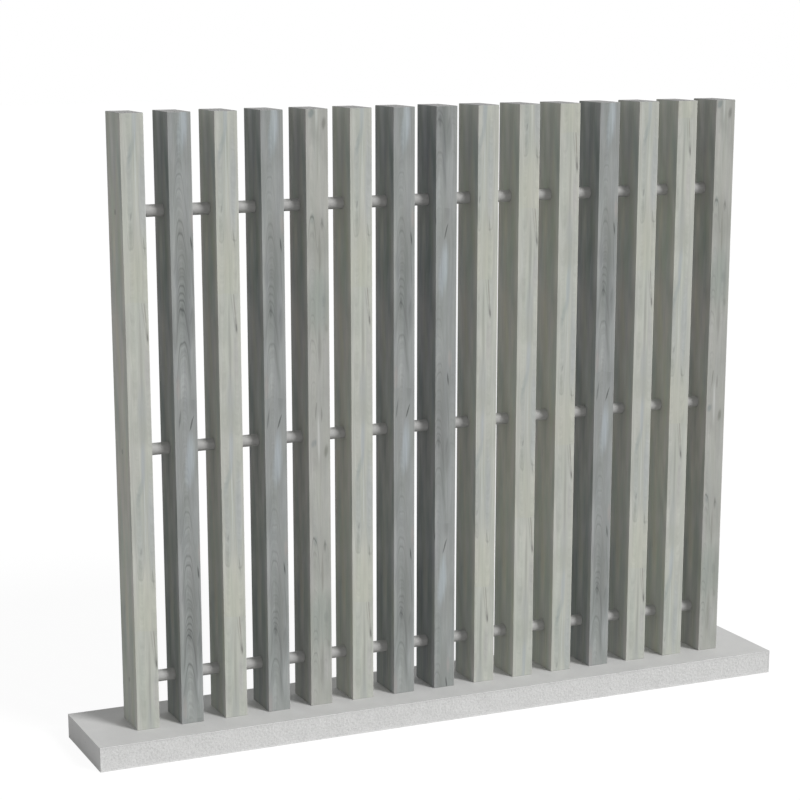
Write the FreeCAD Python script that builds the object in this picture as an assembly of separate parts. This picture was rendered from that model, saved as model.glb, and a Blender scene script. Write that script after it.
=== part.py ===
import FreeCAD, Part
import os
import math

# Garden privacy screen: a row of upright timber posts standing on a concrete slab.
# Three round rails run through the posts. Both ends of each rail sit blind in the
# end posts and are drawn up by a screw from the outer face. Flat steel tongues
# stand in the slab, and the posts are slotted over them.
#
# Frame: origin at the centre of the slab's underside, +X along the row,
# +Y towards the back, +Z up. All sizes are in millimetres.

# --- posts ---
post_count = 15
post_pitch = 140.0
post_width = 70.0
post_depth = 136.0
post_height = 1818.0
post_arris = 1.5

# --- slab under the posts ---
slab_end_margin = 147.0
slab_depth = 340.0
slab_height = 75.0
slab_arris = 2.0

# --- rails through the posts ---
rail_names = ("lower", "middle", "upper")
first_rail_height = 141.0
rail_spacing = 698.0
rail_diameter = 36.0
rail_bore_clearance = 0.3

# --- flat-headed screw at each end of each rail ---
screw_diameter = 8.0
screw_head_diameter = 15.0
screw_head_height = 6.0
screw_key_width = 6.0
screw_key_depth = 3.5
screw_engagement = 30.0
screw_hole_clearance = 0.5
seat_timber = 18.0
counterbore_depth = 11.0
counterbore_clearance = 0.5
thread_clearance = 0.05
thread_runout = 4.0

# --- tongues between each post's foot and the slab ---
tongue_thickness = 8.0
tongue_edge_distance = 28.0
tongue_length_in_post = 95.0
tongue_cover_in_slab = 20.0
tongue_side_clearance = 0.5
tongue_end_clearance = 2.0

# --- worked out from the sizes above ---
row_length = (post_count - 1) * post_pitch + post_width
slab_length = row_length + 2 * slab_end_margin
first_post_x = -(post_count - 1) * post_pitch / 2
post_foot = slab_height
rail_heights = [post_foot + first_rail_height + i * rail_spacing for i in range(len(rail_names))]
rail_socket_depth = post_width - counterbore_depth - seat_timber
rail_length = row_length - 2 * (post_width - rail_socket_depth)
thread_depth = screw_engagement + thread_runout
screw_head_seat = -row_length / 2 + counterbore_depth
tongue_width = post_depth - 2 * tongue_edge_distance
tongue_depth_in_slab = slab_height - tongue_cover_in_slab
tongue_foot = tongue_cover_in_slab

along_row = FreeCAD.Vector(1, 0, 0)


def post_centre(index):
    """X of the middle of a post, counted from the left end."""
    return first_post_x + index * post_pitch


def block(length, depth, height, foot):
    """A rectangular block centred on the Z axis, standing at the given height."""
    corner = FreeCAD.Vector(-length / 2, -depth / 2, foot)
    return Part.makeBox(length, depth, height, corner)


def softened(solid, arris, foot):
    """The block with a small chamfer on every edge but those it stands on."""
    edges = [edge for edge in solid.Edges if edge.BoundBox.ZMax > foot + arris]
    return solid.makeChamfer(arris, edges)


def rod(diameter, length, x, height):
    """A round bar along the row, from the given X to the right."""
    return Part.makeCylinder(diameter / 2, length, FreeCAD.Vector(x, 0, height), along_row)


def tongue_slot(length, foot):
    """The slot for one tongue on the Z axis, with room all round for the bonding resin."""
    gap = 2 * tongue_side_clearance
    return block(tongue_thickness + gap, tongue_width + gap, length, foot)


def slab():
    """Cast slab: one solid block with a blind slot under every post."""
    solid = softened(block(slab_length, slab_depth, slab_height, 0), slab_arris, 0)
    slot = tongue_slot(tongue_depth_in_slab, tongue_foot)
    slots = [slot.translated(FreeCAD.Vector(post_centre(index), 0, 0))
             for index in range(post_count)]
    return solid.cut(slots)


def slotted_post():
    """Post centred on the Z axis, with the slot for its tongue but no rail holes yet."""
    solid = softened(block(post_width, post_depth, post_height, post_foot), post_arris, post_foot)
    return solid.cut(tongue_slot(tongue_length_in_post + tongue_end_clearance, post_foot))


def inner_post():
    """Post with a hole right through it for each rail."""
    diameter = rail_diameter + 2 * rail_bore_clearance
    holes = [rod(diameter, post_width, -post_width / 2, height) for height in rail_heights]
    return slotted_post().cut(holes)


def rail_end_hole(height):
    """Hole in the left end post: counterbore, screw hole and rail socket on one axis."""
    outer_face = -post_width / 2
    inner_face = post_width / 2
    counterbore = rod(screw_head_diameter + 2 * counterbore_clearance, counterbore_depth,
                      outer_face, height)
    screw_hole = rod(screw_diameter + 2 * screw_hole_clearance, post_width, outer_face, height)
    socket = rod(rail_diameter + 2 * rail_bore_clearance, rail_socket_depth,
                 inner_face - rail_socket_depth, height)
    return counterbore.fuse([screw_hole, socket])


def end_post():
    """Left end post: a stepped hole for each rail's end and its screw."""
    return slotted_post().cut([rail_end_hole(height) for height in rail_heights])


def rail(height):
    """Round bar between the bottoms of the two end sockets, with a tapped hole in each end."""
    bar = rod(rail_diameter, rail_length, -rail_length / 2, height)
    tapped_hole = rod(screw_diameter + 2 * thread_clearance, thread_depth,
                      -rail_length / 2, height)
    return bar.cut(at_both_ends(tapped_hole))


def key_socket(x, height):
    """Hexagonal key recess that opens at the given X."""
    corner_radius = screw_key_width / math.sqrt(3)
    centre = FreeCAD.Vector(x, 0, height)
    corners = [centre + FreeCAD.Vector(0, corner_radius * math.cos(math.radians(60 * i)),
                                       corner_radius * math.sin(math.radians(60 * i)))
               for i in range(7)]
    return Part.Face(Part.makePolygon(corners)).extrude(along_row * screw_key_depth)


def screw(height):
    """Left screw, from its head in the counterbore to its tip in the rail."""
    head_top = screw_head_seat - screw_head_height
    head = rod(screw_head_diameter, screw_head_height, head_top, height)
    shank = rod(screw_diameter, seat_timber + screw_engagement, screw_head_seat, height)
    return head.fuse(shank).cut(key_socket(head_top, height))


def at_both_ends(solid):
    """The left end piece and its mirror image at the right end."""
    return [solid, solid.mirror(FreeCAD.Vector(0, 0, 0), along_row)]


def foot_tongue(index):
    """Flat steel bar, resting on the bottom of its slot in the slab."""
    length = tongue_depth_in_slab + tongue_length_in_post
    bar = block(tongue_thickness, tongue_width, length, tongue_foot)
    return bar.translated(FreeCAD.Vector(post_centre(index), 0, 0))


def save(name, solids):
    """Write one named piece, or one group of identical separate pieces."""
    shape = solids[0] if len(solids) == 1 else Part.makeCompound(solids)
    shape.exportStep(os.path.join("parts", name + ".step"))


os.makedirs("parts", exist_ok=True)

save("slab", [slab()])

left_post, right_post = at_both_ends(end_post())
posts = [left_post] + [inner_post()] * (post_count - 2) + [right_post]
for index, post in enumerate(posts):
    save("post_%02d" % (index + 1), [post.translated(FreeCAD.Vector(post_centre(index), 0, 0))])

for name, height in zip(rail_names, rail_heights):
    save("rail_" + name, [rail(height)])

save("rail_screws", [copy for height in rail_heights for copy in at_both_ends(screw(height))])
save("foot_tongues", [foot_tongue(index) for index in range(post_count)])
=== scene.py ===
import math

import bpy
from mathutils import Matrix, Vector


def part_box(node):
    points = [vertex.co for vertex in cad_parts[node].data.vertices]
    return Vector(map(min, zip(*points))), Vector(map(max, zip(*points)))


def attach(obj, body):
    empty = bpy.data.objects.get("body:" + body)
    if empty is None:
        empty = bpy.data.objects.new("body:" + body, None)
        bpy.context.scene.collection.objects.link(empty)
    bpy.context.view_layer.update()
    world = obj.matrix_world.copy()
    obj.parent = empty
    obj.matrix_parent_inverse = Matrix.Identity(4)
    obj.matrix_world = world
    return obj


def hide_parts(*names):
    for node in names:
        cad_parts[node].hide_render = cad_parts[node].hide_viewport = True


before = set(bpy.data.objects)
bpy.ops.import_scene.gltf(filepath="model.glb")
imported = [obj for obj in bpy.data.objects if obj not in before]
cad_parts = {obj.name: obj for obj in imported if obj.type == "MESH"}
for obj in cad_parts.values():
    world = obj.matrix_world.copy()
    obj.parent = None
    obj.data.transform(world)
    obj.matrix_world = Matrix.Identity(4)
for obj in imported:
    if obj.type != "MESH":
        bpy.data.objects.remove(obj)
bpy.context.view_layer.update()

# ------------------------------------------------------------------------------- slab
# The slab is one block of pale concrete, cast lying flat in a mould. Its top is floated
# smooth, its long faces keep the fine stipple of the mould's lining, and it has a cast
# slot under every post. Everything else stands on it.

slab_low, slab_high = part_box("slab")
slab_size = slab_high - slab_low
slab_arris = 0.002
arris_steps = 3
stipple_spacing = 0.0025
stipple_depth = 0.0026
stipple_grain = 0.0055
stipple_level = 0.96
stipple_margin = 0.004
# How far in from the long faces the painted shade in the stipple's creases reaches, and over what
# width it fades.
crease_shade_depth = 0.004
crease_shade_fade = 0.002
face_tolerance = 0.00001
seam_tolerance = 0.0001
post_names = ["post_%02d" % number for number in range(1, 16)]
tongue_low, tongue_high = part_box("foot_tongues")
tongue_thickness = 0.008
slot_clearance = 0.0005


def linear(hex_colour):
    """The linear colour that a shader takes, from an sRGB hex colour."""
    parts = [int(hex_colour[place:place + 2], 16) / 255 for place in (1, 3, 5)]
    return [part / 12.92 if part <= 0.04045 else ((part + 0.055) / 1.055) ** 2.4
            for part in parts] + [1.0]


def add_node(tree, kind, inputs=None, **settings):
    """Adds one shader node, sets it, and fills or links its inputs.

    An input is a value, a node's socket, or a node, which then links its first output.
    """
    new = tree.nodes.new("ShaderNode" + kind)
    for name, value in settings.items():
        setattr(new, name, value)
    for name, value in (inputs or {}).items():
        if isinstance(value, bpy.types.Node):
            value = next(socket for socket in value.outputs if socket.enabled)
        if isinstance(value, bpy.types.NodeSocket):
            tree.links.new(value, new.inputs[name])
        else:
            new.inputs[name].default_value = value
    return new


def new_material(name):
    """A material with an empty node tree and its output node."""
    material = bpy.data.materials.new(name)
    material.use_nodes = True
    material.node_tree.nodes.clear()
    return material, material.node_tree


def middle(node_name):
    """The middle of a CAD node's box."""
    low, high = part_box(node_name)
    return (low + high) / 2


def start_piece(name):
    """Names and returns the primitive that was just added, with its place in its mesh."""
    piece = bpy.context.object
    piece.name = name
    bpy.ops.object.transform_apply(location=True, rotation=True, scale=True)
    return piece


def cut(piece, cutter, solver="MANIFOLD"):
    """Cuts one piece with another, which is then deleted."""
    boolean = piece.modifiers.new("cut", "BOOLEAN")
    boolean.operation = "DIFFERENCE"
    boolean.solver = solver
    boolean.object = cutter
    bpy.ops.object.select_all(action="DESELECT")
    bpy.context.view_layer.objects.active = piece
    piece.select_set(True)
    bpy.ops.object.modifier_apply(modifier="cut")
    bpy.data.objects.remove(cutter)


def finish_piece(piece, material):
    """Gives a piece its one material, and smooth curves beside faces that shade flat."""
    bpy.ops.object.select_all(action="DESELECT")
    bpy.context.view_layer.objects.active = piece
    piece.select_set(True)
    bpy.ops.object.shade_smooth_by_angle(angle=math.radians(35))
    weighted = piece.modifiers.new("flat_faces", "WEIGHTED_NORMAL")
    weighted.keep_sharp = True
    bpy.ops.object.modifier_apply(modifier="flat_faces")
    piece.data.materials.clear()
    piece.data.materials.append(material)


# The front face, as a fine grid from the ground up, less the arris at its other edges.
bpy.ops.object.select_all(action="DESELECT")
bpy.ops.mesh.primitive_grid_add(
    x_subdivisions=round(slab_size.x / stipple_spacing),
    y_subdivisions=round(slab_size.z / stipple_spacing),
    size=1,
    location=(0, slab_low.y, (slab_size.z - slab_arris) / 2),
    rotation=(math.pi / 2, 0, 0),
)
bpy.context.object.scale = (slab_size.x - 2 * slab_arris, slab_size.z - slab_arris, 1)
slab = start_piece("cast_slab")

# The rounded arris and the front half of the top, ends and bed, drawn from its edge.
bpy.ops.object.mode_set(mode="EDIT")
bpy.ops.mesh.select_all(action="SELECT")
bpy.ops.mesh.region_to_loop()
half_length = slab_size.x / 2 - slab_arris
top_height = slab_size.z - slab_arris
for step in range(1, arris_steps + 1):
    before = math.pi / 2 * (step - 1) / arris_steps
    after = math.pi / 2 * step / arris_steps
    backward = slab_arris * (math.cos(before) - math.cos(after))
    longer = ((half_length + slab_arris * math.sin(after))
              / (half_length + slab_arris * math.sin(before)))
    taller = ((top_height + slab_arris * math.sin(after))
              / (top_height + slab_arris * math.sin(before)))
    bpy.ops.mesh.extrude_edges_move(TRANSFORM_OT_translate={"value": (0, backward, 0)})
    bpy.ops.transform.resize(value=(longer, 1, taller), center_override=(0, 0, 0))
bpy.ops.mesh.extrude_edges_move(
    TRANSFORM_OT_translate={"value": (0, slab_size.y / 2 - slab_arris, 0)})
bpy.ops.object.mode_set(mode="OBJECT")

# The back half, and the normals of both.
back_half = slab.modifiers.new("back_half", "MIRROR")
back_half.use_axis = (False, True, False)
back_half.merge_threshold = seam_tolerance
bpy.ops.object.modifier_apply(modifier="back_half")
bpy.ops.object.mode_set(mode="EDIT")
bpy.ops.mesh.select_all(action="SELECT")
bpy.ops.mesh.normals_make_consistent(inside=False)
bpy.ops.object.mode_set(mode="OBJECT")

# The stipple, pressed into both long faces, so that its highest points are level with the
# plain faces, and fading out at their arrises.
stippled = slab.vertex_groups.new(name="stippled")
for vertex in slab.data.vertices:
    place = vertex.co
    if abs(place.y) > slab_size.y / 2 - face_tolerance:
        inward = min(half_length - abs(place.x), top_height - place.z, place.z)
        stippled.add([vertex.index], min(1, max(0, inward / stipple_margin)), "REPLACE")
lining = bpy.data.textures.new("mould_lining", "CLOUDS")
lining.noise_scale = stipple_grain
lining.noise_depth = 1
relief = slab.modifiers.new("stipple", "DISPLACE")
relief.texture = lining
relief.texture_coords = "LOCAL"
relief.vertex_group = "stippled"
relief.mid_level = stipple_level
relief.strength = stipple_depth
bpy.ops.object.modifier_apply(modifier="stipple")

# The slots for the tongues, all cut at once.
slot_size = (
    tongue_thickness + 2 * slot_clearance,
    tongue_high.y - tongue_low.y + 2 * slot_clearance,
    2 * (slab_size.z - tongue_low.z),
)
slots = []
for post_name in post_names:
    bpy.ops.object.select_all(action="DESELECT")
    bpy.ops.mesh.primitive_cube_add(
        size=1, location=(middle(post_name).x, 0, slab_size.z), scale=slot_size)
    slots.append(start_piece("slot"))
for slot in slots:
    slot.select_set(True)
bpy.ops.object.join()
cut(slab, bpy.context.object)

# Fair-faced concrete: portland cement with pale sand, matt, with faint cloudy patches
# of cement paste about 60 mm across, sand grains of 1 to 2 mm, and a few air holes,
# which are dips in the bump with painted shade in them. On the long faces, painted shade
# darkens creases in a pattern like the stipple's, about 5 mm apart.
concrete, tree = new_material("fair_faced_concrete")
place = add_node(tree, "TexCoord").outputs["Object"]
cloud = add_node(tree, "TexNoise", {"Vector": place, "Scale": 1 / 0.06, "Detail": 3.0})
sand = add_node(tree, "TexNoise", {"Vector": place, "Scale": 1 / 0.0018, "Detail": 1.0})
air_hole = add_node(tree, "TexVoronoi", {"Vector": place, "Scale": 1 / 0.035})
in_air_hole = add_node(tree, "MapRange", {
    "Value": air_hole.outputs["Distance"],
    "From Min": 0.02, "From Max": 0.045, "To Min": 1.0, "To Max": 0.0})
paste = add_node(tree, "ValToRGB", {"Fac": cloud})
paste.color_ramp.elements[0].position = 0.30
paste.color_ramp.elements[0].color = linear("#cfcfce")
paste.color_ramp.elements[1].position = 0.70
paste.color_ramp.elements[1].color = linear("#d4d4d3")
grains = add_node(tree, "MapRange", {
    "Value": sand, "From Min": 0.3, "From Max": 0.7, "To Min": 0.975, "To Max": 1.02})
sanded = add_node(tree, "VectorMath", {0: paste, "Scale": grains.outputs[0]},
                  operation="SCALE")
# Painted shade: a pattern of creases like the stipple's, drawn up to 18% darker on the long faces
# only.
crease = add_node(tree, "TexNoise", {"Vector": place, "Scale": 1 / 0.0065, "Detail": 1.0})
off_crease = add_node(tree, "Math", {
    0: add_node(tree, "Math", {0: crease, 1: 0.5}, operation="SUBTRACT")}, operation="ABSOLUTE")
from_middle = add_node(tree, "Math", {
    0: add_node(tree, "SeparateXYZ", {0: place}).outputs["Y"]}, operation="ABSOLUTE")
on_long_face = add_node(tree, "MapRange", {
    "Value": from_middle, "From Min": slab_size.y / 2 - crease_shade_depth - crease_shade_fade,
    "From Max": slab_size.y / 2 - crease_shade_depth, "To Min": 1.0, "To Max": 0.82})
crease_shade = add_node(tree, "MapRange", {
    "Value": off_crease, "From Max": 0.07, "To Min": on_long_face.outputs[0], "To Max": 1.0})
crease_shaded_tone = add_node(tree, "VectorMath", {0: sanded, "Scale": crease_shade.outputs[0]},
                         operation="SCALE")
# Painted shade: the air holes are drawn darker, as the shade inside their hollow.
hole_shaded = add_node(tree, "Mix", {
    0: in_air_hole.outputs[0], 6: crease_shaded_tone, 7: linear("#9c9c9a")}, data_type="RGBA")
sand_height = add_node(tree, "Math", {0: sand, 1: in_air_hole.outputs[0]},
                       operation="SUBTRACT")
sand_bump = add_node(tree, "Bump", {
    "Height": sand_height, "Strength": 0.35, "Distance": 0.0004})
rough = add_node(tree, "MapRange", {"Value": cloud, "To Min": 0.78, "To Max": 0.92})
shader = add_node(tree, "BsdfPrincipled", {
    "Base Color": hole_shaded, "Roughness": rough.outputs[0], "Normal": sand_bump,
    "IOR": 1.5, "Specular IOR Level": 0.3})
add_node(tree, "OutputMaterial", {"Surface": shader})
finish_piece(slab, concrete)

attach(slab, "root")
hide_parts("slab")

# ---------------------------------------------------------------------- foot tongues
# Fifteen flat bars of mild steel, cut to length and hot-dip galvanised. Each stands half
# in a slot of the slab and half in the slotted foot of a post, set in resin, and holds
# the foot. Their plain rectangular shape is the CAD solid's.

# Hot-dip galvanised steel: zinc, so a mid grey metal with a spangle of 6 to 12 mm
# crystals that differ a little in tone and gloss.
galvanised, tree = new_material("hot_dip_galvanised_steel")
place = add_node(tree, "TexCoord").outputs["Object"]
spangle = add_node(tree, "TexVoronoi", {"Vector": place, "Scale": 1 / 0.009})
crystal = add_node(tree, "SeparateXYZ", {0: spangle.outputs["Color"]})
zinc = add_node(tree, "ValToRGB", {"Fac": crystal.outputs[0]})
zinc.color_ramp.elements[0].color = linear("#9fa3a6")
zinc.color_ramp.elements[1].color = linear("#b7babc")
rough = add_node(tree, "MapRange", {"Value": crystal.outputs[1], "To Min": 0.38, "To Max": 0.55})
skin = add_node(tree, "TexNoise", {"Vector": place, "Scale": 1 / 0.004, "Detail": 2.0})
skin_bump = add_node(tree, "Bump", {"Height": skin, "Strength": 0.2, "Distance": 0.0002})
shader = add_node(tree, "BsdfPrincipled", {
    "Base Color": zinc, "Metallic": 1.0, "Roughness": rough.outputs[0], "Normal": skin_bump})
add_node(tree, "OutputMaterial", {"Surface": shader})
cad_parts["foot_tongues"].material_slots[0].material = galvanised

# ----------------------------------------------------------------------------- posts
# Fifteen planed softwood posts, left unfinished until they weathered to silver grey, with
# eased arrises. Each is bored for the three rails, the end posts only from their inner
# side, and its foot is slotted over a tongue. They were sawn from three logs.

post_arris = 0.0015
bore_radius = 0.0183
bore_sides = 64
mouth_flare = 0.0002
cutter_rim = 0.00001
tongue_top_clearance = 0.002
counterbore_radius = 0.008
counterbore_depth = 0.011
screw_hole_radius = 0.0045
screw_seat = 0.029
rail_names = ["rail_lower", "rail_middle", "rail_upper"]
rail_heights = [middle(rail_name).z for rail_name in rail_names]


def planed_post(name, node_name):
    """A post with eased arrises and the slot for its tongue, not bored yet."""
    low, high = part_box(node_name)
    centre = (low + high) / 2
    bpy.ops.object.select_all(action="DESELECT")
    bpy.ops.mesh.primitive_cube_add(size=1, location=centre, scale=high - low)
    post = start_piece(name)
    bpy.ops.object.mode_set(mode="EDIT")
    bpy.ops.mesh.select_all(action="DESELECT")
    bpy.ops.object.mode_set(mode="OBJECT")
    for edge in post.data.edges:
        ends = [post.data.vertices[index].co.z for index in edge.vertices]
        edge.select = max(ends) > high.z - post_arris / 2
    bpy.ops.object.mode_set(mode="EDIT")
    bpy.ops.mesh.bevel(offset=post_arris, segments=3, affect="EDGES")
    bpy.ops.object.mode_set(mode="OBJECT")
    slot_height = tongue_high.z - low.z + tongue_top_clearance
    bpy.ops.object.select_all(action="DESELECT")
    bpy.ops.mesh.primitive_cube_add(
        size=1, location=(centre.x, centre.y, low.z),
        scale=(slot_size[0], slot_size[1], 2 * slot_height))
    cut(post, start_piece("foot_slot"))
    return post


def turned_cutter(start_x, height, stages):
    """A round cutter along X in stages of (radius, distance to the next stage)."""
    first_radius, first_length = stages[0]
    bpy.ops.object.select_all(action="DESELECT")
    bpy.ops.mesh.primitive_cylinder_add(
        vertices=bore_sides, radius=first_radius, depth=first_length,
        location=(start_x + first_length / 2, 0, height), rotation=(0, math.pi / 2, 0))
    cutter = start_piece("bore")
    bpy.ops.object.mode_set(mode="EDIT")
    bpy.ops.mesh.select_all(action="DESELECT")
    bpy.ops.object.mode_set(mode="OBJECT")
    end_face = max(cutter.data.polygons, key=lambda face: face.center.x)
    end_face.select = True
    bpy.ops.object.mode_set(mode="EDIT")
    radius = first_radius
    end_x = start_x + first_length
    for next_radius, length in stages[1:]:
        bpy.ops.mesh.extrude_region_move(TRANSFORM_OT_translate={"value": (length, 0, 0)})
        end_x += length
        if next_radius != radius:
            ratio = next_radius / radius
            bpy.ops.transform.resize(value=(1, ratio, ratio), center_override=(end_x, 0, height))
        radius = next_radius
    bpy.ops.object.mode_set(mode="OBJECT")
    return cutter


# An inner post: three bores right through, with slightly eased mouths.
inner_low, inner_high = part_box("post_02")
flared = bore_radius + 2 * mouth_flare
inner_post = planed_post("inner_post", "post_02")
for height in rail_heights:
    bore = turned_cutter(inner_low.x - mouth_flare, height, [
        (flared, cutter_rim),
        (bore_radius, 2 * mouth_flare),
        (bore_radius, inner_high.x - inner_low.x - 2 * mouth_flare),
        (flared, 2 * mouth_flare),
    ])
    cut(inner_post, bore)

# An end post: a counterbore for the screw's head, its hole, and a blind socket.
end_low, end_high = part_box("post_01")
end_post = planed_post("end_post", "post_01")
for height in rail_heights:
    bore = turned_cutter(end_low.x - mouth_flare, height, [
        (counterbore_radius + 2 * mouth_flare, cutter_rim),
        (counterbore_radius, 2 * mouth_flare),
        (counterbore_radius, counterbore_depth - mouth_flare),
        (screw_hole_radius, 0),
        (screw_hole_radius, screw_seat - counterbore_depth),
        (bore_radius, 0),
        (bore_radius, end_high.x - end_low.x - screw_seat - mouth_flare),
        (flared, 2 * mouth_flare),
    ])
    cut(end_post, bore)

# Which log each post was sawn from, how far its figure is shifted across and down the
# post, in millimetres, and how strongly its growth rings show.
sawn_from = {
    1: ("light", 4, 8, 1.0), 2: ("dark", 5, -18, 1.0), 3: ("light", -5, -3, 1.0),
    4: ("dark", 0, 0, 0.6), 5: ("mid", 0, 0, 1.0), 6: ("light", 0, 0, 1.0),
    7: ("dark", 0, 0, 0.6), 8: ("dark", -14, -540, 0.5), 9: ("light", -16, 0, 1.0),
    10: ("light", 3, 765, 1.0), 11: ("light", 0, 540, 1.0), 12: ("dark", 0, 0, 0.6),
    13: ("light", 0, 0, 1.0), 14: ("light", -14, 505, 1.0), 15: ("mid", -5, 0, 1.0),
}

# A log's figure comes again after figure_length. On the way in from a broad face, a ring
# lies ring_slope further down the log for each millimetre, and the back of a post shows
# its log back_further down for each millimetre behind the front. All in millimetres.
figure_length = 977.0
half_width_mm = 35.0
half_depth_mm = 68.0
pith_radius = 8.0
ring_slope = 22.0
back_further = 3.0
# How far in from each arris the painted highlight reaches.
arris_highlight_width = 2.0
arris_flat = 0.2


def timber_figure(name, body, starts_at, column_at, column_spacing, leg, bluntness, tilt,
                  beside, fine, mottle, rings, stains):
    """A node group with the growth figure of one log, in millimetres.

    The figure starts at starts_at down the log. Growth rings show on the broad faces as
    columns of nested arches, column_spacing apart, the main one at column_at. Their feet
    hang a leg below their crowns, or stand above them where leg is negative. They are the
    squarer the higher their bluntness, they slope by tilt, and beside is how strong the
    other columns are next to the main one. Rings are (distance down the log, darkness),
    fine is the strength of the fine rings between them, and mottle that of the blotches
    on the sides. Stains are soft spots, drawn out along the fibres:
    (colour, strength, across, down, half width, half height, lean in degrees).
    """
    group = bpy.data.node_groups.new(name, "ShaderNodeTree")
    group.interface.new_socket("Place", in_out="INPUT", socket_type="NodeSocketVector")
    for socket_name in ("Across", "Down", "Rings"):
        group.interface.new_socket(socket_name, in_out="INPUT", socket_type="NodeSocketFloat")
    group.interface.new_socket("Colour", in_out="OUTPUT", socket_type="NodeSocketColor")
    group.interface.new_socket("Relief", in_out="OUTPUT", socket_type="NodeSocketFloat")
    given = group.nodes.new("NodeGroupInput")
    place = add_node(group, "VectorMath", {0: given.outputs["Place"], "Scale": 1000.0},
                     operation="SCALE")

    # The grain wanders a few millimetres over a palm's width.
    slow = add_node(group, "VectorMath", {0: place, 1: (1 / 50, 1 / 50, 1 / 200)},
                    operation="MULTIPLY")
    wander = add_node(group, "TexNoise", {"Vector": slow, "Scale": 1.0, "Detail": 2.0})
    centred = add_node(group, "VectorMath", {0: wander.outputs["Color"], 1: (0.5, 0.5, 0.5)},
                       operation="SUBTRACT")
    shift = add_node(group, "VectorMath", {0: centred, 1: (7.0, 3.0, 14.0)},
                     operation="MULTIPLY")
    wandered = add_node(group, "VectorMath", {0: place, 1: shift}, operation="ADD")
    straight = add_node(group, "SeparateXYZ", {0: place})
    bent = add_node(group, "SeparateXYZ", {0: wandered})
    across = add_node(group, "Math", {0: bent.outputs["X"], 1: given.outputs["Across"]},
                      operation="SUBTRACT")

    # Depth under the nearer broad face, rounded at the pith.
    squared = add_node(group, "Math", {
        0: bent.outputs["Y"], 1: bent.outputs["Y"], 2: pith_radius ** 2},
        operation="MULTIPLY_ADD")
    from_pith = add_node(group, "Math", {0: squared}, operation="SQRT")
    depth = add_node(group, "Math", {0: half_depth_mm, 1: from_pith}, operation="SUBTRACT")
    inside = add_node(group, "MapRange", {"Value": depth, "From Min": 0.5, "From Max": 4.0})

    # Distance down the log. The back of the post shows it further on than the front.
    down = add_node(group, "Math", {0: 0.0, 1: bent.outputs["Z"]}, operation="SUBTRACT")
    from_front = add_node(group, "Math", {0: bent.outputs["Y"], 1: half_depth_mm},
                          operation="ADD")
    further = add_node(group, "Math", {0: from_front, 1: back_further, 2: down},
                       operation="MULTIPLY_ADD")
    shifted = add_node(group, "Math", {0: further, 1: given.outputs["Down"]},
                       operation="SUBTRACT")
    along = add_node(group, "Math", {
        0: shifted, 1: starts_at + figure_length, 2: starts_at}, operation="WRAP")
    log_place = add_node(group, "CombineXYZ", {0: across, 1: depth, 2: along})

    # Columns of arches with round crowns and steep legs, and the rings that they cut.
    from_column = add_node(group, "Math", {0: across, 1: column_at}, operation="SUBTRACT")
    turn = add_node(group, "Math", {0: from_column, 1: math.pi / column_spacing},
                    operation="MULTIPLY")
    off_crown = add_node(group, "Math", {0: add_node(group, "Math", {0: turn}, operation="SINE")},
                         operation="ABSOLUTE")
    hang = add_node(group, "Math", {0: off_crown, 1: bluntness}, operation="POWER")
    hung = add_node(group, "Math", {0: hang, 1: -leg, 2: along}, operation="MULTIPLY_ADD")
    level = add_node(group, "Math", {0: from_column, 1: -tilt, 2: hung},
                     operation="MULTIPLY_ADD")
    ring_place = add_node(group, "Math", {0: depth, 1: ring_slope, 2: level},
                          operation="MULTIPLY_ADD")
    ring_wrapped = add_node(group, "Math", {
        0: ring_place, 1: starts_at + figure_length, 2: starts_at}, operation="WRAP")
    line_width = add_node(group, "MapRange", {
        "Value": hang, "From Max": 0.5, "To Min": 6.0, "To Max": abs(leg) / 5})
    line_dark = 0.0
    for down_log, darkness in rings:
        where = starts_at + (down_log - starts_at) % figure_length
        away = add_node(group, "Math", {0: ring_wrapped, 1: where}, operation="SUBTRACT")
        line = add_node(group, "MapRange", {
            "Value": add_node(group, "Math", {0: away}, operation="ABSOLUTE"),
            "From Max": line_width.outputs[0], "To Min": darkness, "To Max": 0.0},
            interpolation_type="SMOOTHSTEP")
        line_dark = add_node(group, "Math", {0: line.outputs[0], 1: line_dark},
                             operation="ADD")
    fine_place = add_node(group, "CombineXYZ", {
        0: add_node(group, "Math", {0: ring_place, 1: 1 / 17}, operation="MULTIPLY"),
        1: add_node(group, "Math", {0: across, 1: 1 / 90}, operation="MULTIPLY"),
        2: add_node(group, "Math", {0: along, 1: 1 / 500}, operation="MULTIPLY")})
    fine_ring = add_node(group, "TexNoise", {
        "Vector": fine_place, "Scale": 1.0, "Detail": 2.0, "Roughness": 0.6})
    fine_signed = add_node(group, "Math", {0: fine_ring, 1: 0.5}, operation="SUBTRACT")
    from_main = add_node(group, "Math", {0: from_column}, operation="ABSOLUTE")
    on_main = add_node(group, "MapRange", {
        "Value": from_main, "From Min": 0.4 * column_spacing,
        "From Max": 0.6 * column_spacing, "To Min": 1.0, "To Max": beside})
    on_crown = add_node(group, "MapRange", {"Value": hang, "To Min": 1.0, "To Max": 0.4})
    near_face = add_node(group, "MapRange", {
        "Value": depth, "From Min": 0.0, "From Max": 6.0, "To Min": 1.0, "To Max": 0.3})
    ring_strength = given.outputs["Rings"]
    for mask in (on_main, on_crown, near_face):
        ring_strength = add_node(group, "Math", {0: mask.outputs[0], 1: ring_strength},
                                 operation="MULTIPLY")
    ring_tone = add_node(group, "Math", {0: line_dark, 1: ring_strength},
                         operation="MULTIPLY")
    fine_tone = add_node(group, "Math", {0: fine_signed, 1: ring_strength},
                         operation="MULTIPLY")

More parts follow.
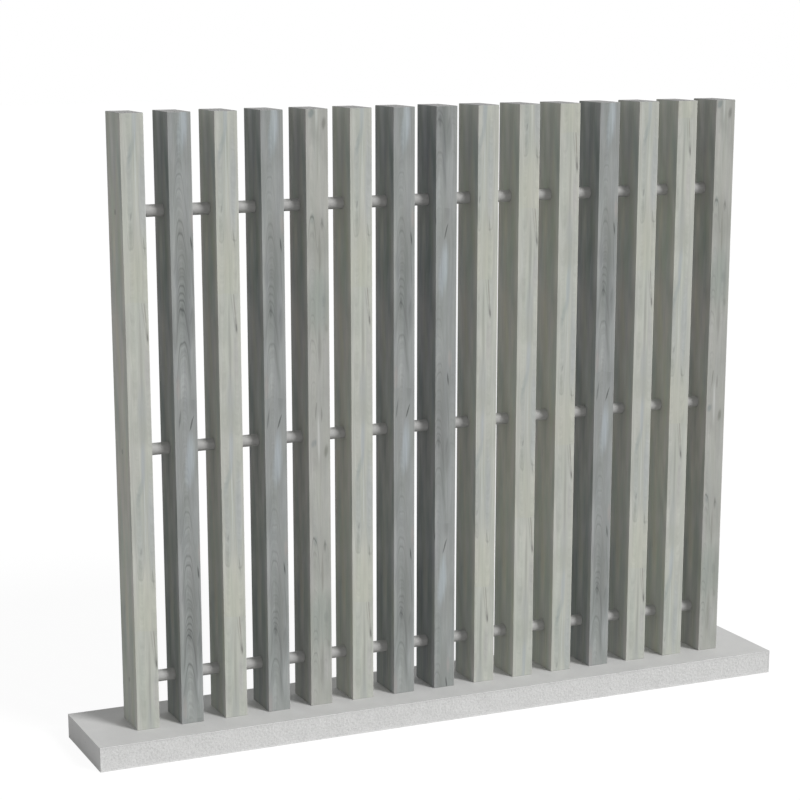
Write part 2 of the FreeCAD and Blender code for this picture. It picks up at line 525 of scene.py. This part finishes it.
    # Fibres about 1.5 mm wide and a hand long, broader streaks, cloudy patches, and the
    # tinted blotches and small dark checks that show most on the narrow faces. Each has its
    # size across the post, in depth and down the post.
    grain = {}
    for part, followed, size, detail in (
            ("fibre", wandered, (1.6, 1.6, 80), 2.0),
            ("streak", wandered, (6, 6, 240), 2.0),
            ("patch", place, (40, 40, 160), 3.0),
            ("blotch", wandered, (24, 34, 220), 2.0),
            ("check", wandered, (5, 5, 45), 1.0)):
        drawn_out = add_node(group, "VectorMath", {
            0: followed, 1: [1 / length for length in size]}, operation="MULTIPLY")
        grain[part] = add_node(group, "TexNoise", {
            "Vector": drawn_out, "Scale": 1.0, "Detail": detail})
    fibre = grain["fibre"]
    streak = grain["streak"]
    blotch = grain["blotch"]
    check = add_node(group, "MapRange", {
        "Value": grain["check"], "From Min": 0.66, "From Max": 0.80})

    # The log's own tones, then its stains and knots, ragged along the fibres.
    tone = add_node(group, "ValToRGB", {"Fac": grain["patch"]})
    tone.color_ramp.elements[0].position = 0.32
    tone.color_ramp.elements[0].color = linear(body[0])
    tone.color_ramp.elements[1].position = 0.68
    tone.color_ramp.elements[1].color = linear(body[1])
    ragged = add_node(group, "Math", {0: fibre, 1: 2.2, 2: -0.15}, operation="MULTIPLY_ADD")
    for colour, strength, x, down_log, half_width, half_height, lean in stains:
        where = starts_at + (down_log - starts_at) % figure_length
        spot_place = add_node(group, "Mapping", {
            "Vector": log_place, "Location": (x, 0, where),
            "Rotation": (0, math.radians(-lean), 0),
            "Scale": (half_width, 12 + 2 * half_width, half_height)}, vector_type="TEXTURE")
        spot = add_node(group, "TexGradient", {"Vector": spot_place},
                        gradient_type="SPHERICAL")
        ragged_spot = add_node(group, "Math", {0: spot.outputs["Fac"], 1: ragged},
                               operation="MULTIPLY")
        amount = add_node(group, "MapRange", {
            "Value": ragged_spot, "From Min": 0.0, "From Max": 0.7,
            "To Min": 0.0, "To Max": strength}, interpolation_type="SMOOTHSTEP")
        tone = add_node(group, "Mix", {0: amount.outputs[0], 6: tone, 7: linear(colour)},
                        data_type="RGBA")

    # Blotches turn the tone a little to violet, green or brown, mostly on the sides.
    blotch_signed = add_node(group, "VectorMath", {
        0: blotch.outputs["Color"], 1: (0.5, 0.5, 0.5)}, operation="SUBTRACT")
    blotch_share = add_node(group, "MapRange", {
        "Value": inside.outputs[0], "To Min": 0.2, "To Max": 0.8})
    blotch_tint = add_node(group, "VectorMath", {
        0: blotch_signed, "Scale": blotch_share.outputs[0]}, operation="SCALE")
    side_check = add_node(group, "Math", {0: check, 1: blotch_share}, operation="MULTIPLY")
    mottled = add_node(group, "MapRange", {
        "Value": inside.outputs[0], "To Min": 0.3, "To Max": mottle})
    blotch_shade = add_node(group, "Math", {
        0: add_node(group, "Math", {0: blotch, 1: 0.5}, operation="SUBTRACT"),
        1: mottled.outputs[0]}, operation="MULTIPLY")
    tint = add_node(group, "VectorMath", {
        0: blotch_tint, 1: (0.28, 0.22, 0.32), 2: (1.0, 1.0, 1.0)}, operation="MULTIPLY_ADD")
    tinted = add_node(group, "VectorMath", {0: tone, 1: tint}, operation="MULTIPLY")

    # Rings, fibres, streaks, blotches and checks lighten and darken these tones.
    shade = 1.0
    for source, weight in ((ring_tone, -0.34), (fine_tone, fine)):
        shade = add_node(group, "Math", {0: source, 1: weight, 2: shade},
                         operation="MULTIPLY_ADD")
    for source, weight in ((fibre, 0.16), (streak, 0.24)):
        signed = add_node(group, "Math", {0: source, 1: 0.5}, operation="SUBTRACT")
        shade = add_node(group, "Math", {0: signed, 1: weight, 2: shade},
                         operation="MULTIPLY_ADD")
    for source, weight in ((blotch_shade, 0.7), (side_check, -0.2)):
        shade = add_node(group, "Math", {0: source, 1: weight, 2: shade},
                         operation="MULTIPLY_ADD")
    side_grown = add_node(group, "VectorMath", {0: tinted, "Scale": shade}, operation="SCALE")

    # Sawn end grain, from the eased arris up: neutral grey, with the rings close together.
    end_ring = add_node(group, "Math", {0: fine_signed, 1: 0.35, 2: 1.0},
                        operation="MULTIPLY_ADD")
    end_tone = add_node(group, "VectorMath", {0: linear("#a2a2a1")[:3], "Scale": end_ring},
                        operation="SCALE")
    on_end = add_node(group, "MapRange", {
        "Value": straight.outputs["Z"], "From Min": -1.6, "From Max": -0.4})
    colour = add_node(group, "Mix", {0: on_end.outputs[0], 6: side_grown, 7: end_tone},
                      data_type="RGBA")

    # Painted highlight: here and there along the streaks, the vertical arrises are drawn up to
    # 30% paler, as if catching the light.
    off_centre = add_node(group, "Math", {0: straight.outputs["X"]}, operation="ABSOLUTE")
    off_middle = add_node(group, "Math", {0: straight.outputs["Y"]}, operation="ABSOLUTE")
    near_side = add_node(group, "MapRange", {
        "Value": off_centre, "From Min": half_width_mm - arris_highlight_width,
        "From Max": half_width_mm - arris_flat})
    near_front = add_node(group, "MapRange", {
        "Value": off_middle, "From Min": half_depth_mm - arris_highlight_width,
        "From Max": half_depth_mm - arris_flat})
    on_arris = add_node(group, "Math", {0: near_side.outputs[0], 1: near_front.outputs[0]},
                        operation="MULTIPLY")
    arris_highlight = add_node(group, "Math", {0: on_arris, 1: streak}, operation="MULTIPLY")
    highlight_gain = add_node(group, "Math", {0: arris_highlight, 1: 0.3, 2: 1.0}, operation="MULTIPLY_ADD")
    weathered = add_node(group, "VectorMath", {0: colour, "Scale": highlight_gain}, operation="SCALE")

    relief = add_node(group, "Math", {0: ring_tone, 1: -0.3, 2: fibre},
                      operation="MULTIPLY_ADD")
    result = group.nodes.new("NodeGroupOutput")
    group.links.new(weathered.outputs[0], result.inputs["Colour"])
    group.links.new(relief.outputs[0], result.inputs["Relief"])
    return group


# The light log: cream sapwood with blue stain that hangs down in two columns.
figures = {"light": timber_figure(
    "light_log_figure", body=("#b0b2ab", "#babcb4"), starts_at=527, column_at=-16,
    column_spacing=40, leg=-320, bluntness=6, tilt=0.2, beside=0.9, fine=0.3, mottle=0.55,
    rings=[(105, 0.2), (270, 0.15), (357, 0.5), (690, 0.1)],
    stains=[
        ("#a3a7a4", 0.5, -13, 215, 14, 190, 0), ("#a3a7a8", 0.6, 23, 210, 16, 200, 0),
        ("#9a9d96", 0.6, -16, 335, 9, 44, 0), ("#868983", 0.7, 22, 366, 3, 36, -5),
        ("#9aa19f", 0.55, -10, 105, 10, 70, 14), ("#8d8f8b", 0.6, -13, 284, 3.5, 16, 8),
        ("#bcc0bc", 0.8, 3, 150, 2.6, 220, 0), ("#a6acb0", 0.6, 3, 10, 10, 110, 2),
        ("#b5b6a9", 0.5, 0, 490, 60, 190, 0), ("#9d9e98", 0.7, 4, 690, 6, 190, 0),
        ("#a0a3a2", 0.55, 3, 850, 18, 130, 0), ("#8b8b87", 0.6, 25, 624, 7, 38, -4),
        ("#6e6e6b", 0.8, 26, 630, 3, 18, -5), ("#8c8880", 0.7, 21, 560, 3, 62, -4),
        ("#9b9b94", 0.6, 14, 560, 2.5, 70, -6), ("#aba9a8", 0.5, 22, 720, 12, 90, 0),
        ("#bcbdb8", 0.2, -29, 780, 10, 110, 0), ("#a7a9a1", 0.5, 0, 905, 50, 60, 0),
        ("#a4a69f", 0.5, -18, 765, 16, 80, 0),
    ])}

# The dark log: heartwood gone slate grey, with tight arches and small black knots.
figures["dark"] = timber_figure(
    "dark_log_figure", body=("#8f9290", "#9a9d9c"), starts_at=845, column_at=-9,
    column_spacing=46, leg=110, bluntness=4, tilt=0.3, beside=0.3, fine=0.6, mottle=1.2,
    rings=[(188, 0.7), (236, 0.4), (322, 0.5), (353, 0.8), (410, 0.5), (448, 0.5),
           (475, 0.6), (505, 0.9), (530, 0.7), (551, 0.9), (573, 1.2), (660, 0.9),
           (700, 0.3)],
    stains=[
        ("#858886", 0.6, 4, 430, 34, 150, 0), ("#7d807e", 0.65, 0, 560, 28, 180, 0),
        ("#6c6f6e", 0.6, -9, 584, 7, 26, 0), ("#808382", 0.7, 6, 690, 10, 150, -2),
        ("#a9b0b4", 0.85, 7, 1022, 17, 100, 2), ("#a0a6a9", 0.6, -3, 1065, 14, 70, 0),
        ("#565958", 0.8, 11, 922, 2.6, 22, 16), ("#5a5d5c", 0.8, 15, 906, 2.4, 20, 20),
        ("#505352", 0.85, 22, 391, 3, 26, -6), ("#767978", 0.5, 24, 500, 3, 90, -3),
        ("#737676", 0.5, 19, 598, 5, 34, 8), ("#a19c99", 0.6, 28, 330, 8, 40, 0),
        ("#a1a4a2", 0.6, -30, 480, 7, 260, 0), ("#a0a3a2", 0.6, 30, 700, 8, 180, 0),
        ("#9fa2a1", 0.7, -14, 790, 9, 80, 3), ("#9b9e9d", 0.6, 18, 745, 8, 100, -3),
        ("#9f9b98", 0.6, -28, 812, 9, 55, 0), ("#838685", 0.6, 17, 850, 12, 50, 0),
        ("#6c6f6e", 0.8, -24, 905, 3.5, 40, 8), ("#838685", 0.6, -24, 468, 11, 65, 0),
        ("#7f8281", 0.55, 23, 625, 11, 80, 0),
    ])

# The mid log: pale brown-grey with a green tinge half way up and wide open arches.
figures["mid"] = timber_figure(
    "mid_log_figure", body=("#a0a19c", "#acada8"), starts_at=870, column_at=-18,
    column_spacing=34, leg=90, bluntness=4, tilt=0.6, beside=0.35, fine=0.25, mottle=0.9,
    rings=[(303, 1.0), (345, 0.2), (454, 0.25), (548, 0.3), (590, 0.5), (612, 0.3),
           (657, 0.55), (690, 0.2), (793, 0.2)],
    stains=[
        ("#969c96", 0.7, 2, 560, 60, 125, 0), ("#abaca6", 0.6, 0, 225, 55, 90, 0),
        ("#8d8d87", 0.6, 1, 165, 4, 62, 0), ("#8a8a84", 0.8, 5, 420, 5, 80, 0),
        ("#92938e", 0.7, 3, 705, 8, 100, 0),
        ("#b8bab6", 0.9, -2, 975, 6, 95, 0), ("#878e8c", 0.8, -18, 991, 12, 18, 20),
        ("#84857f", 0.85, 21, 1019, 9, 26, 8), ("#858c88", 0.6, -17, 318, 9, 22, 0),
        ("#7b7d79", 0.8, 14, 334, 6, 26, 0), ("#8a908b", 0.7, 18, 560, 12, 26, 0),
        ("#8b8b85", 0.6, 25, 645, 8, 18, -6), ("#a9a8a6", 0.5, 20, 720, 12, 70, 0),
        ("#82837e", 0.7, -10, 890, 3.5, 44, 6), ("#868782", 0.7, 8, 905, 4, 30, 0),
        ("#b3b4ae", 0.6, -10, 150, 34, 85, 0), ("#979993", 0.5, 0, 385, 55, 95, 0),
        ("#8f928c", 0.5, 24, 590, 12, 130, 0),
    ])

# Weathered softwood: the fibres have greyed and risen a little where rain has washed out
# the soft summer wood, so it is matt, and only faintly glossy at a low angle.
for number, post_name in enumerate(post_names, start=1):
    log, across_shift, down_shift, ring_contrast = sawn_from[number]
    low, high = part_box(post_name)
    timber, tree = new_material("weathered_softwood_%s_%02d" % (log, number))
    place = add_node(tree, "TexCoord").outputs["Object"]
    from_top = add_node(tree, "Mapping", {
        "Vector": place, "Location": (-(low.x + high.x) / 2, 0, -high.z)})
    figure = tree.nodes.new("ShaderNodeGroup")
    figure.node_tree = figures[log]
    tree.links.new(from_top.outputs[0], figure.inputs["Place"])
    figure.inputs["Across"].default_value = across_shift
    figure.inputs["Down"].default_value = down_shift
    figure.inputs["Rings"].default_value = ring_contrast
    raised = add_node(tree, "Bump", {
        "Height": figure.outputs["Relief"], "Strength": 0.5, "Distance": 0.0006})
    rough = add_node(tree, "MapRange", {
        "Value": figure.outputs["Relief"], "To Min": 0.92, "To Max": 0.78})
    shader = add_node(tree, "BsdfPrincipled", {
        "Base Color": figure.outputs["Colour"], "Roughness": rough.outputs[0],
        "Normal": raised, "IOR": 1.5, "Specular IOR Level": 0.07})
    add_node(tree, "OutputMaterial", {"Surface": shader})

    is_end = number in (1, len(post_names))
    pattern = end_post if is_end else inner_post
    post = bpy.data.objects.new("timber_" + post_name, pattern.data.copy())
    bpy.context.scene.collection.objects.link(post)
    if number == len(post_names):
        post.data.transform(Matrix.Rotation(math.pi, 4, "Z"))
    elif not is_end:
        post.data.transform(Matrix.Translation((low.x - inner_low.x, 0, 0)))
    finish_piece(post, timber)
    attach(post, "root")
    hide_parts(post_name)
bpy.data.objects.remove(inner_post)
bpy.data.objects.remove(end_post)

# ----------------------------------------------------------------------------- rails
# Three solid round bars of mill-finish aluminium, sawn to length, with their ends
# chamfered, drilled and tapped. They are pushed through the inner posts from one end and
# sit blind in both end posts.

rail_sides = 96
rail_chamfer = 0.001
tapped_radius = 0.00405
tapped_depth = 0.034

# Mill-finish aluminium that has stood outdoors: its bright skin has gone to a matt pale
# grey oxide with soft draw marks along the bar, some 4 mm wide and 400 mm long, and a
# grain of about a millimetre. It scatters light almost as a paint does.
aluminium, tree = new_material("weathered_mill_aluminium")
place = add_node(tree, "TexCoord").outputs["Object"]
oxide_grain = add_node(tree, "TexNoise", {"Vector": place, "Scale": 1 / 0.0012, "Detail": 2.0})
drawn_place = add_node(tree, "Mapping", {
    "Vector": place, "Scale": (1 / 0.4, 1 / 0.004, 1 / 0.004)})
drawn = add_node(tree, "TexNoise", {"Vector": drawn_place, "Scale": 1.0, "Detail": 2.0})
oxide = add_node(tree, "ValToRGB", {"Fac": drawn})
oxide.color_ramp.elements[0].color = linear("#acaba9")
oxide.color_ramp.elements[1].color = linear("#b6b6b5")
rough = add_node(tree, "MapRange", {"Value": oxide_grain, "To Min": 0.62, "To Max": 0.78})
grain_bump = add_node(tree, "Bump", {
    "Height": oxide_grain, "Strength": 0.15, "Distance": 0.0002})
shader = add_node(tree, "BsdfPrincipled", {
    "Base Color": oxide, "Metallic": 0.1, "Roughness": rough.outputs[0],
    "Normal": grain_bump, "Specular IOR Level": 0.25})
add_node(tree, "OutputMaterial", {"Surface": shader})

for rail_name in rail_names:
    low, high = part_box(rail_name)
    centre = (low + high) / 2
    radius = (high.z - low.z) / 2
    bpy.ops.object.select_all(action="DESELECT")
    bpy.ops.mesh.primitive_cylinder_add(
        vertices=rail_sides, radius=radius, depth=high.x - low.x, location=centre,
        rotation=(0, math.pi / 2, 0))
    bar = start_piece("bar_" + rail_name)
    for end in (-1, 1):
        bpy.ops.object.mode_set(mode="EDIT")
        bpy.ops.mesh.select_all(action="DESELECT")
        bpy.ops.object.mode_set(mode="OBJECT")
        for face in bar.data.polygons:
            face.select = len(face.vertices) == rail_sides and face.normal.x * end > 0.9
        bpy.ops.object.mode_set(mode="EDIT")
        bpy.ops.mesh.bevel(offset=rail_chamfer, segments=2, affect="EDGES")
        bpy.ops.object.mode_set(mode="OBJECT")
        for face in bar.data.polygons:
            face.select = (len(face.vertices) == rail_sides
                           and face.normal.x * end > 0.9)
        bpy.ops.object.mode_set(mode="EDIT")
        bpy.ops.mesh.inset(thickness=radius - rail_chamfer - tapped_radius)
        bpy.ops.mesh.extrude_region_move(
            TRANSFORM_OT_translate={"value": (-end * tapped_depth, 0, 0)})
        bpy.ops.object.mode_set(mode="OBJECT")
    finish_piece(bar, aluminium)
    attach(bar, "root")
    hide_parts(rail_name)

# ------------------------------------------------------------------------ rail screws
# Six stainless cap screws with flat turned heads and hexagon sockets. One draws each
# rail end into its socket, and its head lies sunk in the counterbore of the end post.

head_radius = 0.0075
head_height = 0.006
head_chamfer = 0.0008
key_radius = 0.003 / math.cos(math.pi / 6)
key_depth = 0.0035
shank_radius = 0.004
thread_pitch = 0.00125
thread_depth = 0.0007
thread_length = 0.030
shank_length = 0.048
screw_sides = 36

# Stainless steel, turned and tumbled: a slightly warm bright grey with fine turning
# marks about a tenth of a millimetre apart, drawn here at 0.4 mm so that they show.
stainless, tree = new_material("turned_stainless_steel")
place = add_node(tree, "TexCoord").outputs["Object"]
turning = add_node(tree, "TexNoise", {"Vector": place, "Scale": 1 / 0.0004, "Detail": 1.0})
bright = add_node(tree, "ValToRGB", {"Fac": turning})
bright.color_ramp.elements[0].color = linear("#a8a6a2")
bright.color_ramp.elements[1].color = linear("#c2c0bc")
rough = add_node(tree, "MapRange", {"Value": turning, "To Min": 0.25, "To Max": 0.4})
turned_bump = add_node(tree, "Bump", {
    "Height": turning, "Strength": 0.2, "Distance": 0.00005})
shader = add_node(tree, "BsdfPrincipled", {
    "Base Color": bright, "Metallic": 1.0, "Roughness": rough.outputs[0],
    "Normal": turned_bump})
add_node(tree, "OutputMaterial", {"Surface": shader})

# One screw, turned about the X axis from its profile, head at the left.
head_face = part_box("rail_screws")[0].x
profile = [(head_face, 0.0), (head_face, head_radius - head_chamfer),
           (head_face + head_chamfer, head_radius), (head_face + head_height, head_radius),
           (head_face + head_height, shank_radius)]
thread_start = head_face + head_height + shank_length - thread_length
for turn_number in range(int((thread_length - 0.002) / thread_pitch)):
    crest_x = thread_start + turn_number * thread_pitch
    profile.append((crest_x, shank_radius))
    profile.append((crest_x + thread_pitch / 2, shank_radius - thread_depth))
tip = head_face + head_height + shank_length
profile.append((tip - 0.001, shank_radius - thread_depth))
profile.append((tip, shank_radius - thread_depth - 0.0006))
profile.append((tip, 0.0))

screw_height = rail_heights[0]
bpy.ops.object.select_all(action="DESELECT")
bpy.ops.mesh.primitive_plane_add(size=0.001, location=(0, 0, 0))
turned = start_piece("turned_screw")
turned.data.clear_geometry()
turned.data.from_pydata(
    [(x, 0, screw_height + radius) for x, radius in profile],
    [(index, index + 1) for index in range(len(profile) - 1)], [])
bpy.ops.object.mode_set(mode="EDIT")
bpy.ops.mesh.select_all(action="SELECT")
bpy.ops.mesh.spin(steps=screw_sides, angle=2 * math.pi, center=(0, 0, screw_height),
                  axis=(1, 0, 0))
bpy.ops.mesh.select_all(action="SELECT")
bpy.ops.mesh.remove_doubles(threshold=0.00002)
bpy.ops.mesh.normals_make_consistent(inside=False)
bpy.ops.object.mode_set(mode="OBJECT")
bpy.ops.object.select_all(action="DESELECT")
bpy.ops.mesh.primitive_cylinder_add(
    vertices=6, radius=key_radius, depth=2 * key_depth,
    location=(head_face, 0, screw_height), rotation=(0, math.pi / 2, 0))
key_recess = start_piece("key_recess")
cut(turned, key_recess, solver="EXACT")

copies = []
for height in rail_heights:
    for end in (1, -1):
        one = bpy.data.objects.new("screw", turned.data.copy())
        bpy.context.scene.collection.objects.link(one)
        one.data.transform(Matrix.Translation((0, 0, height - screw_height)))
        if end == -1:
            one.data.transform(Matrix.Rotation(math.pi, 4, "Z"))
        copies.append(one)
bpy.data.objects.remove(turned)
bpy.ops.object.select_all(action="DESELECT")
for one in copies:
    one.select_set(True)
bpy.context.view_layer.objects.active = copies[0]
bpy.ops.object.join()
screws = bpy.context.object
screws.name = "socket_screws"
finish_piece(screws, stainless)
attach(screws, "root")
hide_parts("rail_screws")

# ----------------------------------------------------------------------- timber plugs
# Six small plugs, cut from an offcut of the posts' timber and glued into the counterbores
# over the screws' heads, then planed flush. From a step away only a faint round mark shows.

plug_radius = 0.00785
plug_gap_to_head = 0.0002
plug_rim = 0.0003
plug_sides = 48
post_face = end_low.x

# Softwood plug: the same grey weathering as the post, but its rings run their own way, a
# ring about 2.5 mm wide, and it is drawn a little darker than the face round it.
plug_timber, tree = new_material("weathered_softwood_plug")
place = add_node(tree, "TexCoord").outputs["Object"]
ring_stretch = add_node(tree, "Mapping", {
    "Vector": place, "Scale": (1 / 0.02, 1 / 0.0025, 1 / 0.018)})
plug_ring = add_node(tree, "TexNoise", {"Vector": ring_stretch, "Scale": 1.0, "Detail": 3.0})
plug_tone = add_node(tree, "ValToRGB", {"Fac": plug_ring})
plug_tone.color_ramp.elements[0].position = 0.3
plug_tone.color_ramp.elements[0].color = linear("#9a9b95")
plug_tone.color_ramp.elements[1].position = 0.7
plug_tone.color_ramp.elements[1].color = linear("#aaaba4")
plug_bump = add_node(tree, "Bump", {"Height": plug_ring, "Strength": 0.4, "Distance": 0.0004})
shader = add_node(tree, "BsdfPrincipled", {
    "Base Color": plug_tone, "Roughness": 0.85, "Normal": plug_bump,
    "Specular IOR Level": 0.2})
add_node(tree, "OutputMaterial", {"Surface": shader})

plug_length = head_face - plug_gap_to_head - post_face
plugs = []
for height in rail_heights:
    for end in (1, -1):
        bpy.ops.object.select_all(action="DESELECT")
        bpy.ops.mesh.primitive_cylinder_add(
            vertices=plug_sides, radius=plug_radius, depth=plug_length,
            location=(end * (post_face + plug_length / 2), 0, height),
            rotation=(0, math.pi / 2, 0))
        plug = start_piece("plug")
        for face in plug.data.polygons:
            face.select = face.normal.x * end < -0.9
        bpy.ops.object.mode_set(mode="EDIT")
        bpy.ops.mesh.select_mode(type="FACE")
        bpy.ops.mesh.bevel(offset=plug_rim, segments=2, affect="EDGES")
        bpy.ops.object.mode_set(mode="OBJECT")
        plugs.append(plug)
bpy.ops.object.select_all(action="DESELECT")
for plug in plugs:
    plug.select_set(True)
bpy.context.view_layer.objects.active = plugs[0]
bpy.ops.object.join()
plugs = bpy.context.object
plugs.name = "screw_plugs"
finish_piece(plugs, plug_timber)
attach(plugs, "root")

# ---------------------------------------------------------------------------- studio
# A plain pale floor that keeps a faint shadow, a white surround that is brighter low down,
# one broad soft light high on the right in front, a weak one behind, and the camera at the
# photograph's place.

floor_size = 80
floor_gap = 0.0005
stand_distance = 8

bpy.ops.object.select_all(action="DESELECT")
bpy.ops.mesh.primitive_plane_add(size=floor_size, location=(0, 0, -floor_gap))
floor = start_piece("floor")
floor_paint, tree = new_material("pale_studio_floor")
seen = add_node(tree, "LightPath").outputs["Is Camera Ray"]
lit = add_node(tree, "BsdfDiffuse", {"Color": linear("#c9c9c9")})
faintly_lit = add_node(tree, "BsdfDiffuse", {"Color": linear("#5c5c5c")})
glow = add_node(tree, "Emission", {"Color": (1, 1, 1, 1), "Strength": 0.93})
shown = add_node(tree, "AddShader", {0: faintly_lit, 1: glow})
floor_shader = add_node(tree, "MixShader", {0: seen, 1: lit, 2: shown})
add_node(tree, "OutputMaterial", {"Surface": floor_shader})
floor.data.materials.append(floor_paint)

world = bpy.data.worlds.new("white_surround")
bpy.context.scene.world = world
world.use_nodes = True
tree = world.node_tree
tree.nodes.clear()
path = add_node(tree, "LightPath")
mirrored = add_node(tree, "Math", {
    0: path.outputs["Is Camera Ray"], 1: path.outputs["Is Glossy Ray"]}, operation="MAXIMUM")
white = add_node(tree, "Math", {0: mirrored, 1: path.outputs["Is Transmission Ray"]},
                 operation="MAXIMUM")
way_up = add_node(tree, "SeparateXYZ", {0: add_node(tree, "TexCoord").outputs["Generated"]})
overhead = add_node(tree, "MapRange", {
    "Value": way_up.outputs["Z"], "To Min": 0.77, "To Max": 0.12})
strength = add_node(tree, "MapRange", {
    "Value": white, "To Min": overhead.outputs[0], "To Max": 1.0})
surround = add_node(tree, "Background", {
    "Color": (1, 1, 1, 1), "Strength": strength.outputs[0]})
add_node(tree, "OutputWorld", {"Surface": surround})

light_turn = math.radians(29.5)
light_height = math.radians(36.7)
towards_light = Vector((math.sin(light_turn) * math.cos(light_height),
                        -math.cos(light_turn) * math.cos(light_height),
                        math.sin(light_height)))
softbox = bpy.data.lights.new("softbox", "SUN")
softbox.energy = 2.32
softbox.angle = math.radians(16)
softbox_stand = bpy.data.objects.new("softbox", softbox)
bpy.context.scene.collection.objects.link(softbox_stand)
softbox_stand.rotation_euler = (-towards_light).to_track_quat("-Z", "Y").to_euler()
softbox_stand.location = towards_light * stand_distance

towards_fill = Vector((0.5, 0.85, 0.15))
fill = bpy.data.lights.new("fill", "SUN")
fill.energy = 0.65
fill.angle = math.radians(60)
fill_stand = bpy.data.objects.new("fill", fill)
bpy.context.scene.collection.objects.link(fill_stand)
fill_stand.rotation_euler = (-towards_fill).to_track_quat("-Z", "Y").to_euler()
fill_stand.location = towards_fill * stand_distance

lens = bpy.data.cameras.new("camera")
lens.sensor_width = 36
lens.lens = 95.69
lens.shift_y = 0.12812
camera = bpy.data.objects.new("camera", lens)
bpy.context.scene.collection.objects.link(camera)
camera.location = (-2.78473, -5.88351, 2.19656)
camera.rotation_euler = (math.pi / 2 - 0.231462, 0, -0.424802)
bpy.context.scene.camera = camera
bpy.context.scene.view_settings.view_transform = "Standard"
